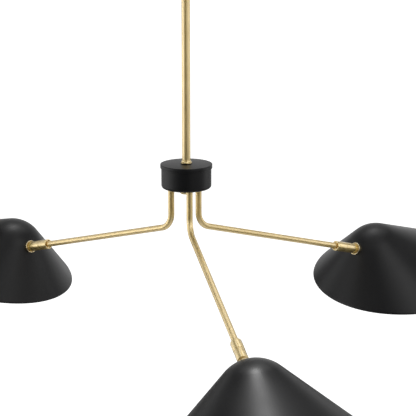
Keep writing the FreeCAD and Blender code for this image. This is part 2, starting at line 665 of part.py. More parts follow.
def makeBulb(arm, placement):
    # The contact tip is a third of the base across and an eighth of it long
    baseEnd = "(" + bulbTip + " + Sizes.bulbBaseLength)"
    base = [
        ("0", bulbTip),
        ("Sizes.bulbBaseDiameter / 6", bulbTip),
        ("Sizes.bulbBaseDiameter / 2", bulbTip + " + Sizes.bulbBaseLength / 8"),
        ("Sizes.bulbBaseDiameter / 2", baseEnd),
        ("0", baseEnd),
    ]
    turned("bulb_base_" + arm, base, placement)
    centre = "(" + bulbTip + " + Sizes.bulbLength - Sizes.bulbDiameter / 2)"
    globe = "(Sizes.bulbDiameter / 2)"
    hollow = "(Sizes.bulbDiameter / 2 - Sizes.bulbWall)"
    # The neck meets the globe where the globe is two thirds as wide as its middle
    meet = "(Sizes.bulbDiameter / 3)"
    innerMeet = "(Sizes.bulbDiameter / 3 - Sizes.bulbWall)"
    glass = [
        ("Sizes.bulbNeckDiameter / 2 - Sizes.bulbWall", baseEnd + " + Sizes.seatClearance"),
        ("Sizes.bulbNeckDiameter / 2", baseEnd + " + Sizes.seatClearance"),
        (meet, centre + " - sqrt(" + globe + " ^ 2 - " + meet + " ^ 2)", "left", globe),
        ("0", centre + " + " + globe),
        ("0", centre + " + " + hollow, "right", hollow),
        (innerMeet, centre + " - sqrt(" + hollow + " ^ 2 - " + innerMeet + " ^ 2)"),
    ]
    turned("bulb_glass_" + arm, glass, placement)


def noseHeight():
    # The edge's plane cuts the cone slantwise, and its long way across sets how far below the peak it lies
    half = math.radians(size("coneAngle"))
    lean = math.radians(size("coneLeanAngle"))
    apex = size("shadeLength") / (math.tan(half + lean) + math.tan(half - lean))
    return apex - size("noseRadius") * math.cos(lean) / math.sin(half)


def shadeSkin(inset):
    # A solid that fills the shade, drawn in by inset: a leaning cone with a ball for its peak, cut off at the
    # edge's plane. The peak's centre is above the origin.
    half = math.radians(size("coneAngle"))
    lean = math.radians(size("coneLeanAngle"))
    centre = Vector(0, 0, noseHeight())
    ball = size("noseRadius") - inset
    down = Vector(math.sin(lean), 0, -math.cos(lean))
    touch = centre - down * ball * math.sin(half)
    width = ball * math.cos(half)
    length = size("shadeLength")
    skirt = Part.makeCone(width, width + length * math.tan(half), length, touch, down)
    peak = Part.makeSphere(ball, centre, -down, size("coneAngle"), 90, 360)
    below = Part.makeBox(8 * length, 8 * length, 4 * length, Vector(-4 * length, -4 * length, -4 * length))
    return skirt.fuse(peak).cut(below).removeSplitter()


def ringBore(clearance):
    # The spigot's hole through the shade, about the ring's axis
    home = ringHome()
    inward = home.Rotation.multVec(Vector(0, 0, 1))
    radius = size("ballDiameter") / 2 + size("runningClearance") + size("ringSpigotWall") + clearance
    length = size("ringDepth") + size("ringSpigotEnd")
    return Part.makeCylinder(radius, length, home.Base - inward * size("ringDepth"), inward)


def makeShade(arm, placement):
    shade = document.addObject("Part::Feature", "shade_" + arm)
    shade.Shape = shadeSkin(0).cut([shadeSkin(size("shadeWall")), ringBore(size("seatClearance"))])
    keep(shade, "shade_" + arm, placement)


def turnedAbout(axis, degrees):
    return Placement(Vector(), Rotation(axis, degrees))


def axesPlacement(point, axisX, axisY, axisZ):
    matrix = Matrix(axisX.x, axisY.x, axisZ.x, point.x,
                    axisX.y, axisY.y, axisZ.y, point.y,
                    axisX.z, axisY.z, axisZ.z, point.z,
                    0, 0, 0, 1)
    return Placement(matrix)


def ringHome():
    # The ball's centre and the ring's axis into the shade, which is square to the side next to the arm
    angle = math.radians(size("coneAngle") - size("coneLeanAngle"))
    inward = Vector(math.cos(angle), 0, -math.sin(angle))
    ball = Vector(0, 0, noseHeight()) - inward * (size("noseRadius") + size("ballStandoff"))
    across = Vector(0, 1, 0)
    return axesPlacement(ball, across, inward.cross(across), inward)


def makeArm(arm, place):
    up = Vector(0, 0, 1)
    exitAngle = math.radians(place + size("exitTurnAngle"))
    exitPoint = Vector(math.cos(exitAngle), math.sin(exitAngle), 0) * size("exitRadius") + up * hubBottom
    azimuth = place + size("exitTurnAngle") + size(arm + "SwingAngle")
    outward = Vector(math.cos(math.radians(azimuth)), math.sin(math.radians(azimuth)), 0)
    sideways = up.cross(outward)
    slope = math.radians(size("armSlopeAngle"))
    along = outward * math.cos(slope) - up * math.sin(slope)
    corner = exitPoint - up * size("armLegLength")
    mouth = corner + along * size("armReach")
    ball = mouth + along * size("ballReach")

    rise = (size("hubFloor") + size("bushFlangeThickness") + size("faceClearance")
            + size("stopCollarHeight"))
    legTop = Placement(exitPoint + up * rise, Rotation(up, azimuth))
    alongArm = axesPlacement(mouth, sideways, along.cross(sideways), along)
    makeBush(arm, exitPoint)
    makeArmTube(arm, legTop)
    makeStopCollar(arm, exitPoint)
    makeSleeve(arm, alongArm)
    makeSwivel(arm, alongArm)

    level = axesPlacement(Vector(), outward, sideways, up)
    stance = (turnedAbout(up, size(arm + "YawAngle")) * turnedAbout(along, size(arm + "RollAngle"))
              * turnedAbout(sideways, size(arm + "TiltAngle")) * level)
    home = ringHome()
    shadePlace = Placement(ball, stance.Rotation) * Placement(-home.Base, Rotation())
    alongRing = shadePlace * home
    makeShade(arm, shadePlace)
    for make in (makeRing, makeSaddle, makeBallSeat, makeCarrier, makeLampHolder, makeBulb):
        make(arm, alongRing)


# Assembly

makeCrossbar()
makeCanopy()
makeCanopyCollar()
makeRod()
makeRodCollar()
makeHubLid()
makeHubCup()
makeHubTie()
makeFinial()
for arm, place in armAngles.items():
    makeArm(arm, place)
document.recompute()

# Check and write

for item in document.Objects:
    if "Invalid" in item.State or "Error" in item.State:
        raise RuntimeError("%s did not build: %s" % (item.Name, item.State))
for part in parts:
    if part.Shape.isNull() or not part.Shape.isValid() or len(part.Shape.Solids) != 1:
        raise RuntimeError("%s is not one valid solid" % part.Label)
os.makedirs("parts", exist_ok=True)
for part in parts:
    part.Shape.exportStep("parts/" + part.Label + ".step")
print(len(parts), "pieces written")
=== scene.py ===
import bmesh
import bpy
import json
import math
from mathutils import Matrix, Vector


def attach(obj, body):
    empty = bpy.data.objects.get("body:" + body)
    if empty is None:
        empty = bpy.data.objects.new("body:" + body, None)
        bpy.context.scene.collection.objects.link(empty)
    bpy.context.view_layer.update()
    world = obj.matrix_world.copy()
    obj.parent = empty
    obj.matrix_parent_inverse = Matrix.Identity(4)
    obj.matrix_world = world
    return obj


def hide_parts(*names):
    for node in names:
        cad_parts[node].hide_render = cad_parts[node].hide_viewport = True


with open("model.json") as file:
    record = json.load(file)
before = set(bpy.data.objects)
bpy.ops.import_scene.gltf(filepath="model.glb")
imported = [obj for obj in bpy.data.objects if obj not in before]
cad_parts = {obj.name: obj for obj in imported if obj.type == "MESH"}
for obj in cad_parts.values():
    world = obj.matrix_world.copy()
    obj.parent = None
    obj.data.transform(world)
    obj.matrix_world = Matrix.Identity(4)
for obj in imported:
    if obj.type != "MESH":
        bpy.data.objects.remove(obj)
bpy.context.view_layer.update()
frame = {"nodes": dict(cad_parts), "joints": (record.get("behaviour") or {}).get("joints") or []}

mm = 0.001
up = Vector((0, 0, 1))
joints = {joint["name"]: joint for joint in frame["joints"]}
armNames = ("left", "right", "front")


# Meshes: every piece is a skin over rows of points

def addObject(name, data):
    thing = bpy.data.objects.new(name, data)
    bpy.context.scene.collection.objects.link(thing)
    return thing


def facesBetween(rows, closed):
    # Neighbouring rows are joined, and a row of one point closes an end
    starts = [0]
    for row in rows:
        starts.append(starts[-1] + len(row))
    faces = []
    faceRows = []
    for first in range(len(rows) if closed else len(rows) - 1):
        second = (first + 1) % len(rows)
        a, b = starts[first], starts[second]
        countA, countB = len(rows[first]), len(rows[second])
        count = max(countA, countB)
        if count == 1:
            continue
        for index in range(count):
            following = (index + 1) % count
            if countA == 1:
                face = (a, b + following, b + index)
            elif countB == 1:
                face = (a + index, a + following, b)
            else:
                face = (a + index, a + following, b + following, b + index)
            faces.append(face)
            faceRows.append((first, index))
    return faces, faceRows


def addGrain(mesh, rows, faceRows):
    # Lengths round and along the piece, in metres, for brushed lines
    along = [0.0]
    for first in range(len(rows)):
        second = (first + 1) % len(rows)
        along.append(along[-1] + (rows[second][0] - rows[first][0]).length)
    widths = [(row[0] - row[len(row) // 2]).length for row in rows if len(row) > 2]
    girth = max(widths) * math.pi
    rowOf = [(number, index) for number, row in enumerate(rows) for index in range(len(row))]
    grain = mesh.uv_layers.new(name="grain")
    for polygon, (first, index) in zip(mesh.polygons, faceRows):
        count = max(len(rows[first]), len(rows[(first + 1) % len(rows)]))
        for loop in polygon.loop_indices:
            number, place = rowOf[mesh.loops[loop].vertex_index]
            if len(rows[number]) == 1:
                place = index + 0.5
            if place == 0 and index == count - 1:
                place = count
            closing = number == 0 and first == len(rows) - 1
            reach = along[-1] if closing else along[number]
            grain.data[loop].uv = (girth * place / count, reach)


def skinPiece(name, rows, closed, material, sharpAngle=32, wear=None):
    faces, faceRows = facesBetween(rows, closed)
    mesh = bpy.data.meshes.new(name)
    mesh.from_pydata([point for row in rows for point in row], [], faces)
    mesh.update()
    addGrain(mesh, rows, faceRows)
    if wear is not None:
        values = [value for value, row in zip(wear, rows) for point in row]
        mesh.attributes.new("edge", "FLOAT", "POINT").data.foreach_set("value", values)
    mesh.shade_smooth()
    mesh.set_sharp_from_angle(angle=math.radians(sharpAngle))
    mesh.materials.append(material)
    return addObject(name, mesh)


def roundedProfile(corners, steps, closed, sideShare=0.49):
    # Corners are (radius, height, rounding): each becomes an arc that touches both of its sides
    points = []
    wear = []
    last = len(corners) - 1
    for index, corner in enumerate(corners):
        here = Vector(corner[:2])
        rounding = corner[2] if len(corner) > 2 else 0
        if rounding == 0 or (not closed and index in (0, last)):
            points.append(here)
            wear.append(0.0)
            continue
        before = Vector(corners[index - 1][:2]) - here
        after = Vector(corners[(index + 1) % len(corners)][:2]) - here
        half = before.angle(after) / 2
        reach = min(rounding / math.tan(half), sideShare * before.length, sideShare * after.length)
        radius = reach * math.tan(half)
        bisector = (before.normalized() + after.normalized()).normalized()
        centre = here + bisector * (radius / math.sin(half))
        start = here + before.normalized() * reach - centre
        end = here + after.normalized() * reach - centre
        turn = start.angle_signed(end)
        for step in range(steps + 1):
            share = step / steps
            points.append(centre + Matrix.Rotation(-turn * share, 2) @ start)
            wear.append(math.sin(math.pi * share))
    return points, wear


def ballArc(ball, centre, firstRadius, lastRadius, steps):
    # Corners over a ball on the axis, from one distance off the axis to another
    first, last = math.asin(firstRadius / ball), math.asin(lastRadius / ball)
    corners = []
    for step in range(steps + 1):
        angle = math.pi - first - (math.pi - first - last) * step / steps
        corners.append((max(ball * math.sin(angle), 0), centre + ball * math.cos(angle)))
    return corners


def lathePiece(name, corners, place, material, sides=96, steps=5, closed=True, sharpAngle=32):
    # A turned piece about its own Z axis, from corners in millimetres
    points, wear = roundedProfile(corners, steps, closed)
    onAxis = 1e-6
    angles = [2 * math.pi * side / sides for side in range(sides)]
    rows = []
    for radius, height in points:
        if abs(radius) < onAxis:
            rows.append([place @ Vector((0, 0, height * mm))])
            continue
        row = []
        for angle in angles:
            x, y = radius * math.cos(angle), radius * math.sin(angle)
            row.append(place @ Vector((x * mm, y * mm, height * mm)))
        rows.append(row)
    return skinPiece(name, rows, closed and len(rows[0]) > 1, material, sharpAngle, wear)


def settle(piece, body, slot, *nodes):
    # Faces that look inward are turned round
    solid = bmesh.new()
    solid.from_mesh(piece.data)
    if solid.calc_volume(signed=True) < 0:
        piece.data.flip_normals()
    solid.free()
    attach(piece, body)
    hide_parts(*nodes)


def framed(point, axisX, axisY, axisZ):
    # The place of a piece with its own origin and axes
    matrix = Matrix((axisX, axisY, axisZ)).transposed().to_4x4()
    matrix.translation = point
    return matrix


# Materials

def linear(red, green, blue):
    # From a colour as a screen shows it, 0 to 255, to the values that a shader takes
    values = []
    for value in (red, green, blue):
        share = value / 255
        values.append(share / 12.92 if share <= 0.04045 else ((share + 0.055) / 1.055) ** 2.4)
    return (*values, 1.0)


def feed(tree, value, socket):
    # A socket takes a fixed value, or what another node puts out
    if isinstance(value, bpy.types.NodeSocket):
        tree.links.new(value, socket)
    else:
        socket.default_value = value


def mathNode(tree, operation, first, second):
    node = tree.nodes.new("ShaderNodeMath")
    node.operation = operation
    feed(tree, first, node.inputs[0])
    feed(tree, second, node.inputs[1])
    return node.outputs["Value"]


def vectorNode(tree, operation, first, second):
    node = tree.nodes.new("ShaderNodeVectorMath")
    node.operation = operation
    feed(tree, first, node.inputs[0])
    feed(tree, second, node.inputs[1])
    return node.outputs["Vector"]


def smoothNode(tree, value, low, high):
    # From 0 at the low value to 1 at the high one
    node = tree.nodes.new("ShaderNodeMapRange")
    node.interpolation_type = "SMOOTHSTEP"
    for name, given in (("Value", value), ("From Min", low), ("From Max", high)):
        feed(tree, given, node.inputs[name])
    return node.outputs["Result"]


def noiseNode(tree, vector, scale, detail, roughness):
    node = tree.nodes.new("ShaderNodeTexNoise")
    given = {"Vector": vector, "Scale": scale, "Detail": detail, "Roughness": roughness}
    for name, value in given.items():
        feed(tree, value, node.inputs[name])
    return node.outputs["Fac"]


def mixColour(tree, factor, first, second):
    # Its sockets for colours are inputs 6 and 7 and output 2
    node = tree.nodes.new("ShaderNodeMix")
    node.data_type = "RGBA"
    for number, value in ((0, factor), (6, first), (7, second)):
        feed(tree, value, node.inputs[number])
    return node.outputs[2]


def newGroup(name, inputs, outputs):
    group = bpy.data.node_groups.new(name, "ShaderNodeTree")
    for direction, names in (("INPUT", inputs), ("OUTPUT", outputs)):
        for socketName in names:
            group.interface.new_socket(socketName, in_out=direction, socket_type="NodeSocketFloat")
    given = group.nodes.new("NodeGroupInput").outputs
    result = group.nodes.new("NodeGroupOutput").inputs
    return group, given, result


def makeBrushedGroup():
    # Fine lines along or round a piece
    group, given, result = newGroup("brushedLines", ["Lines Along", "Lines Across"], ["Shade"])
    uv = group.nodes.new("ShaderNodeUVMap")
    uv.uv_map = "grain"
    scale = group.nodes.new("ShaderNodeCombineXYZ")
    feed(group, given["Lines Across"], scale.inputs["X"])
    feed(group, given["Lines Along"], scale.inputs["Y"])
    stretched = vectorNode(group, "MULTIPLY", uv.outputs["UV"], scale.outputs["Vector"])
    lines = noiseNode(group, stretched, scale=1.0, detail=3.0, roughness=0.62)
    feed(group, smoothNode(group, lines, low=0.3, high=0.7), result["Shade"])
    return group


def makeHandlingGroup():
    # Patches where hands and cloths have dulled a finish, and dust on what faces up
    group, given, result = newGroup("handling", ["Patch Size", "Seed"], ["Patches", "Dust"])
    coordinates = group.nodes.new("ShaderNodeTexCoord").outputs
    shifted = vectorNode(group, "ADD", coordinates["Object"], given["Seed"])
    patches = noiseNode(group, shifted, given["Patch Size"], detail=4.0, roughness=0.55)
    feed(group, smoothNode(group, patches, low=0.35, high=0.68), result["Patches"])
    normal = group.nodes.new("ShaderNodeSeparateXYZ")
    feed(group, coordinates["Normal"], normal.inputs["Vector"])
    upward = smoothNode(group, normal.outputs["Z"], low=0.35, high=0.98)
    specks = noiseNode(group, shifted, scale=900.0, detail=2.0, roughness=0.6)
    settled = smoothNode(group, specks, low=0.42, high=0.7)
    feed(group, mathNode(group, "MULTIPLY", upward, settled), result["Dust"])
    return group


def makePaintGroup():
    # The skin of sprayed paint: a broad ripple and a fine grain
    group, given, result = newGroup("paintSkin", ["Ripple", "Grain", "Grain Scale"],
                                    ["Height", "Speckle"])
    place = group.nodes.new("ShaderNodeTexCoord").outputs["Object"]
    ripple = noiseNode(group, place, scale=260.0, detail=2.0, roughness=0.5)
    grain = noiseNode(group, place, given["Grain Scale"], detail=2.0, roughness=0.6)
    height = mathNode(group, "ADD", mathNode(group, "MULTIPLY", ripple, given["Ripple"]),
                      mathNode(group, "MULTIPLY", grain, given["Grain"]))
    feed(group, height, result["Height"])
    feed(group, smoothNode(group, grain, low=0.35, high=0.65), result["Speckle"])
    return group


def makeEdgeGroup():
    # Rounded edges, which are rubbed bright
    group, given, result = newGroup("edgeWear", ["From", "To"], ["Mask"])
    edge = group.nodes.new("ShaderNodeAttribute")
    edge.attribute_name = "edge"
    feed(group, smoothNode(group, edge.outputs["Fac"], given["From"], given["To"]), result["Mask"])
    return group


brushedLines = makeBrushedGroup()
handling = makeHandlingGroup()
paintSkin = makePaintGroup()
edgeWear = makeEdgeGroup()


def groupNode(tree, group, **values):
    node = tree.nodes.new("ShaderNodeGroup")
    node.node_tree = group
    for socketName, value in values.items():
        node.inputs[socketName.replace("_", " ")].default_value = value
    return node.outputs


def newMaterial(name, **constants):
    material = bpy.data.materials.new(name)
    material.use_nodes = True
    tree = material.node_tree
    shader = tree.nodes["Principled BSDF"]
    for socketName, value in constants.items():
        shader.inputs[socketName.replace("_", " ")].default_value = value
    return material, tree, shader


def bumpFrom(tree, shader, height, distance):
    bump = tree.nodes.new("ShaderNodeBump")
    bump.inputs["Distance"].default_value = distance
    feed(tree, height, bump.inputs["Height"])
    feed(tree, bump.outputs["Normal"], shader.inputs["Normal"])


brassLook = {
    "bright": linear(247, 219, 144), "deep": linear(239, 209, 131), "edge": linear(249, 224, 152),
    "roughness": (0.48, 0.54), "coat": 0.25, "coatIndex": 2.4, "patchSize": 26.0,
    "linesAlong": 6.0, "linesAcross": 3200.0, "lineShade": 0.2, "edgeFrom": 0.2,
}


def makeBrass(name, look, roundLines=False):
    # Brushed and lacquered: lines along a tube, or round a turned piece
    material, tree, shader = newMaterial(
        name, Metallic=1.0, Coat_Weight=1.0, Coat_IOR=look["coatIndex"],
        Coat_Roughness=look["coat"])
    across, along = look["linesAcross"], look["linesAlong"]
    if roundLines:
        across, along = along, across
    lines = groupNode(tree, brushedLines, Lines_Along=along, Lines_Across=across)
    wear = groupNode(tree, handling, Patch_Size=look["patchSize"])
    edge = groupNode(tree, edgeWear, From=look["edgeFrom"], To=1.0)
    lineShade = mathNode(tree, "MULTIPLY", lines["Shade"], look["lineShade"])
    base = mixColour(tree, wear["Patches"], look["bright"], look["deep"])
    base = mixColour(tree, lineShade, base, look["deep"])
    base = mixColour(tree, edge["Mask"], base, look["edge"])
    feed(tree, base, shader.inputs["Base Color"])
    low, high = look["roughness"]
    half = 0.5 * (high - low)
    rough = mathNode(tree, "ADD", mathNode(tree, "MULTIPLY", wear["Patches"], half),
                     mathNode(tree, "MULTIPLY", lines["Shade"], half))
    feed(tree, mathNode(tree, "ADD", rough, low), shader.inputs["Roughness"])
    return material


blackLook = {
    "paint": linear(10, 10, 11), "faded": linear(13, 13, 14), "dust": linear(120, 118, 114),
    "dustShare": 0.01, "specular": 0.3, "patchSize": 9.0, "seed": 3.0, "speckle": 0.03,
    "bumpDepth": 0.00002,
}


def makeBlack(name, look):
    material, tree, shader = newMaterial(name, Specular_IOR_Level=look["specular"])
    skin = groupNode(tree, paintSkin, Ripple=look["ripple"], Grain=look["grain"],
                     Grain_Scale=look["grainScale"])
    wear = groupNode(tree, handling, Patch_Size=look["patchSize"], Seed=look["seed"])
    dust = mathNode(tree, "MULTIPLY", wear["Dust"], look["dustShare"])
    base = mixColour(tree, wear["Patches"], look["paint"], look["faded"])
    feed(tree, mixColour(tree, dust, base, look["dust"]), shader.inputs["Base Color"])
    low, high = look["roughness"]
    rough = mathNode(tree, "MULTIPLY", wear["Patches"], high - low)
    rough = mathNode(tree, "ADD", mathNode(tree, "ADD", rough, low),
                     mathNode(tree, "MULTIPLY", skin["Speckle"], look["speckle"]))
    feed(tree, rough, shader.inputs["Roughness"])
    bumpFrom(tree, shader, skin["Height"], look["bumpDepth"])
    return material


plainLook = {
    "patchSize": 60.0, "seed": 7.0, "ripple": 0.6, "grain": 1.0, "grainScale": 1500.0,
    "bumpDepth": 0.00001,
}


def makePlain(name, colour, deeper, metallic, roughness, look=plainLook, **constants):
    # Small parts: a colour that varies, a roughness that varies, and a fine grain
    material, tree, shader = newMaterial(name, Metallic=metallic, **constants)
    wear = groupNode(tree, handling, Patch_Size=look["patchSize"], Seed=look["seed"])
    feed(tree, mixColour(tree, wear["Patches"], colour, deeper), shader.inputs["Base Color"])
    low, high = roughness
    rough = mathNode(tree, "MULTIPLY", wear["Patches"], high - low)
    feed(tree, mathNode(tree, "ADD", rough, low), shader.inputs["Roughness"])
    skin = groupNode(tree, paintSkin, Ripple=look["ripple"], Grain=look["grain"],
                     Grain_Scale=look["grainScale"])
    bumpFrom(tree, shader, skin["Height"], look["bumpDepth"])
    return material


brassTube = makeBrass("brassTube", brassLook)
# A darker copy of the brass for the ball inside the ring: its dark colour is painted shade for the
# recess
brassBallPaintedShade = makeBrass("brassBallPaintedShade", {
    **brassLook, "bright": linear(200, 166, 84), "deep": linear(176, 142, 62),
    "edge": linear(215, 180, 100), "coatIndex": 1.4}, roundLines=True)
brassTurned = makeBrass("brassTurned", {
    **brassLook, "roughness": (0.38, 0.44), "coat": 0.17}, roundLines=True)
# A paler copy of the brass for the ring: its pale colour is a painted highlight on the rim, while
# its lower roughness and thinner coat are the finish's own
brassRimPaintedHighlight = makeBrass("brassRimPaintedHighlight", {
    **brassLook, "bright": linear(254, 230, 172), "deep": linear(250, 222, 158),
    "edge": linear(255, 236, 186), "roughness": (0.16, 0.2), "coat": 0.1}, roundLines=True)
shadeBlack = makeBlack("shadeBlack", {
    **blackLook, "grain": 0.5, "ripple": 0.6, "grainScale": 2600.0, "roughness": (0.34, 0.40)})
hubBlack = makeBlack("hubBlack", {
    **blackLook, "grain": 1.2, "ripple": 0.8, "grainScale": 1900.0, "roughness": (0.32, 0.38)})
shadeWhite = makePlain("shadeWhite", linear(246, 245, 241), linear(242, 240, 235),
                       metallic=0.0, roughness=(0.5, 0.62))
zincSteel = makePlain("zincSteel", linear(176, 178, 182), linear(150, 151, 154),
                      metallic=1.0, roughness=(0.28, 0.45))
bulbMetal = makePlain("bulbMetal", linear(205, 205, 208), linear(186, 186, 190),
                      metallic=1.0, roughness=(0.2, 0.34))
holderBlack = makePlain("holderBlack", linear(26, 25, 25), linear(34, 33, 33),
                        metallic=0.0, roughness=(0.3, 0.42))
nylon = makePlain("nylon", linear(228, 224, 212), linear(214, 209, 196),
                  metallic=0.0, roughness=(0.4, 0.52))
opalGlass = makePlain("opalGlass", linear(246, 244, 238), linear(240, 238, 230),
                      metallic=0.0, roughness=(0.12, 0.2),
                      Transmission_Weight=0.25, IOR=1.5, Coat_Weight=0.4)
print("materials made")


# Downrod, canopy and hub: sizes in millimetres, with each top and foot measured from the ceiling

def turnFixturePiece(name, corners, height, material, slot, node, **shape):
    place = Matrix.Translation((0, 0, height * mm))
    settle(lathePiece(name, corners, place, material, **shape), "fixture", slot, node)


rodTube = {"bore": 5.05, "radius": 6.65, "top": -16, "foot": -416, "topRounding": 0.4}


def makeRodTube(rod):
    corners = [(rod["bore"], rod["top"]), (rod["radius"], rod["top"], rod["topRounding"]),
               (rod["radius"], rod["foot"]), (rod["bore"], rod["foot"])]
    turnFixturePiece("rod_tube", corners, 0, brassTube, "brass", "downrod")


rodCollar = {
    "foot": -416, "bore": 6.67, "rim": 8.7, "rimHeight": 1.5, "waist": 7.5, "waistHeight": 2.9,
    "neck": 7.15, "height": 4.8,
    "footRounding": 0.3, "rimRounding": 0.5, "waistRounding": 1.6, "neckRounding": 0.2,
}


def makeRodCollar(collar):
    corners = [(collar["bore"], 0), (collar["rim"], 0, collar["footRounding"]),
               (collar["rim"], collar["rimHeight"], collar["rimRounding"]),
               (collar["waist"], collar["waistHeight"], collar["waistRounding"]),
               (collar["neck"], collar["height"], collar["neckRounding"]),
               (collar["bore"], collar["height"])]
    turnFixturePiece("rod_foot_collar", corners, collar["foot"], brassTurned, "brass",
                     "rod_collar")


rodWasher = {"top": -416, "bore": 5.02, "radius": 8.2, "thickness": 1, "rounding": 0.15}


def makeRodWasher(washer):
    foot = -washer["thickness"]
    corners = [(washer["bore"], 0), (washer["radius"], 0, washer["rounding"]),
               (washer["radius"], foot, washer["rounding"]), (washer["bore"], foot)]
    turnFixturePiece("rod_washer", corners, washer["top"], hubBlack, "black_paint",
                     "lid_washer")


canopyCover = {
    "radius": 60, "depth": 28, "wall": 1.2, "hole": 6.67, "rounding": 5, "edgeRounding": 0.3,
    "sides": 160, "steps": 8,
}


def makeCanopy(cover):
    inside, floor = cover["radius"] - cover["wall"], -(cover["depth"] - cover["wall"])
    corners = [(inside, 0), (inside, floor, cover["rounding"] - cover["wall"]),
               (cover["hole"], floor), (cover["hole"], -cover["depth"], cover["edgeRounding"]),
               (cover["radius"], -cover["depth"], cover["rounding"]),
               (cover["radius"], 0, cover["edgeRounding"])]
    turnFixturePiece("ceiling_canopy", corners, 0, hubBlack, "black_paint", "canopy",
                     sides=cover["sides"], steps=cover["steps"])


canopyCollar = {
    "top": -28, "foot": -37, "bore": 6.67, "radius": 10, "rounding": 2.25, "topRounding": 0.4,
}


def makeCanopyCollar(collar):
    corners = [(collar["bore"], collar["top"]), (collar["bore"], collar["foot"]),
               (collar["radius"], collar["foot"], collar["rounding"]),
               (collar["radius"], collar["top"], collar["topRounding"])]
    turnFixturePiece("canopy_screw_collar", corners, 0, brassTurned, "brass", "canopy_collar")


hubLid = {
    "top": -417, "radius": 41, "thickness": 1.6, "hole": 5.02, "skirtDepth": 6.4,
    "skirtBore": 39.52, "rounding": 0.8, "edgeRounding": 0.3, "sides": 192,
}


def makeHubLid(lid):
    under, edge = -lid["thickness"], -lid["skirtDepth"]
    corners = [(lid["hole"], 0), (lid["radius"], 0, lid["rounding"]),
               (lid["radius"], edge, lid["edgeRounding"]), (lid["skirtBore"], edge),
               (lid["skirtBore"], under), (lid["hole"], under)]
    turnFixturePiece("hub_cover", corners, lid["top"], hubBlack, "black_paint", "hub_lid",
                     sides=lid["sides"])


capNut = {
    "top": -455.6, "radius": 10.5, "depth": 9.7, "bore": 5.02, "boreDepth": 7.02,
    "rounding": 3.4, "topRounding": 0.5,
}


def makeCapNut(nut):
    corners = [(0, -nut["depth"]), (nut["radius"], -nut["depth"], nut["rounding"]),
               (nut["radius"], 0, nut["topRounding"]), (nut["bore"], 0),
               (nut["bore"], -nut["boreDepth"]), (0, -nut["boreDepth"])]
    turnFixturePiece("hub_cap_nut", corners, nut["top"], brassTurned, "brass", "finial",
                     closed=False)


makeRodTube(rodTube)
makeRodCollar(rodCollar)
makeRodWasher(rodWasher)
makeCanopy(canopyCover)
makeCanopyCollar(canopyCollar)
print("rod and canopy made")
makeHubLid(hubLid)
makeCapNut(capNut)
print("hub made")


# Arms

armTube = {
    "radius": 5, "bore": 4, "rise": 13.6, "leg": 64.9, "bend": 27, "slope": 15.9,
    "reach": 305.7, "insert": 8.5, "bendSteps": 24, "sides": 48,
}


def armRoute(look):
    # The tube's middle line, as distances outward and up
    slope = math.radians(look["slope"])
    turn = math.pi / 2 - slope
    bendTop = -look["leg"] + look["bend"] * math.tan(turn / 2)
    route = [Vector((0, look["rise"])), Vector((0, bendTop))]
    for step in range(1, look["bendSteps"] + 1):
        angle = turn * step / look["bendSteps"]
        route.append(Vector((look["bend"] * (1 - math.cos(angle)),
                             bendTop - look["bend"] * math.sin(angle))))
    end = look["reach"] + look["insert"]
    route.append(Vector((end * math.cos(slope), -look["leg"] - end * math.sin(slope))))
    return route


def makeArmTube(arm, exitPoint, outward, look):
    slope = math.radians(look["slope"])
    sideways = up.cross(outward)
    route = armRoute(look)

    def headingAt(index):
        if index <= 1:
            return Vector((0, -1))
        if index >= len(route) - 2:
            return Vector((math.cos(slope), -math.sin(slope)))
        here = route[index]
        before, after = here - route[index - 1], route[index + 1] - here
        return (before.normalized() + after.normalized()).normalized()

    def rowAt(index, radius):
        ahead = headingAt(index)
        across = Vector((-ahead.y, ahead.x))
        points = []
        for side in range(look["sides"]):
            angle = 2 * math.pi * side / look["sides"]
            flat = route[index] + across * (radius * math.cos(angle))
            point = exitPoint + outward * (flat.x * mm) + up * (flat.y * mm)
            points.append(point + sideways * (radius * math.sin(angle) * mm))
        return points

    order = range(len(route))
    rows = [rowAt(index, look["radius"]) for index in order]
    rows += [rowAt(index, look["bore"]) for index in reversed(order)]
    piece = skinPiece("arm_" + arm + "_tube", rows, True, brassTube)
    settle(piece, "arm_" + arm, "brass", "arm_tube_" + arm)


armSleeve = {
    "radius": 8.5, "length": 21, "mouth": 6.7, "mouthDepth": 2.5, "tubeBore": 5.02,
    "tubeDepth": 11.1, "spindleBore": 4.05,
    "mouthRounding": 0.3, "rimRounding": 0.9, "seamRounding": 0.2,
}


def makeSleeve(arm, alongArm, sleeve):
    corners = [(sleeve["mouth"], 0, sleeve["mouthRounding"]),
               (sleeve["radius"], 0, sleeve["rimRounding"]),
               (sleeve["radius"], sleeve["length"], sleeve["seamRounding"]),
               (sleeve["spindleBore"], sleeve["length"]),
               (sleeve["spindleBore"], sleeve["tubeDepth"]),
               (sleeve["tubeBore"], sleeve["tubeDepth"]),
               (sleeve["tubeBore"], sleeve["mouthDepth"]), (sleeve["mouth"], sleeve["mouthDepth"])]
    piece = lathePiece("arm_" + arm + "_sleeve", corners, alongArm, brassTurned)
    settle(piece, "arm_" + arm, "brass", "arm_sleeve_" + arm)


# Heights along the arm, from the sleeve's mouth
ballSwivel = {
    "wireHole": 2.5, "thread": 3.0, "threadStart": 9.1, "spindle": 4.0, "spindleStart": 11.1,
    "radius": 8.35, "seam": 21.1, "shoulder": 42.4, "neck": 7, "neckHeight": 43.2,
    "ball": 9, "ballCentre": 49.4, "ballSteps": 24, "paintedShadeFrom": 42.9,
    "seamRounding": 0.2, "shoulderRounding": 0.4,
}


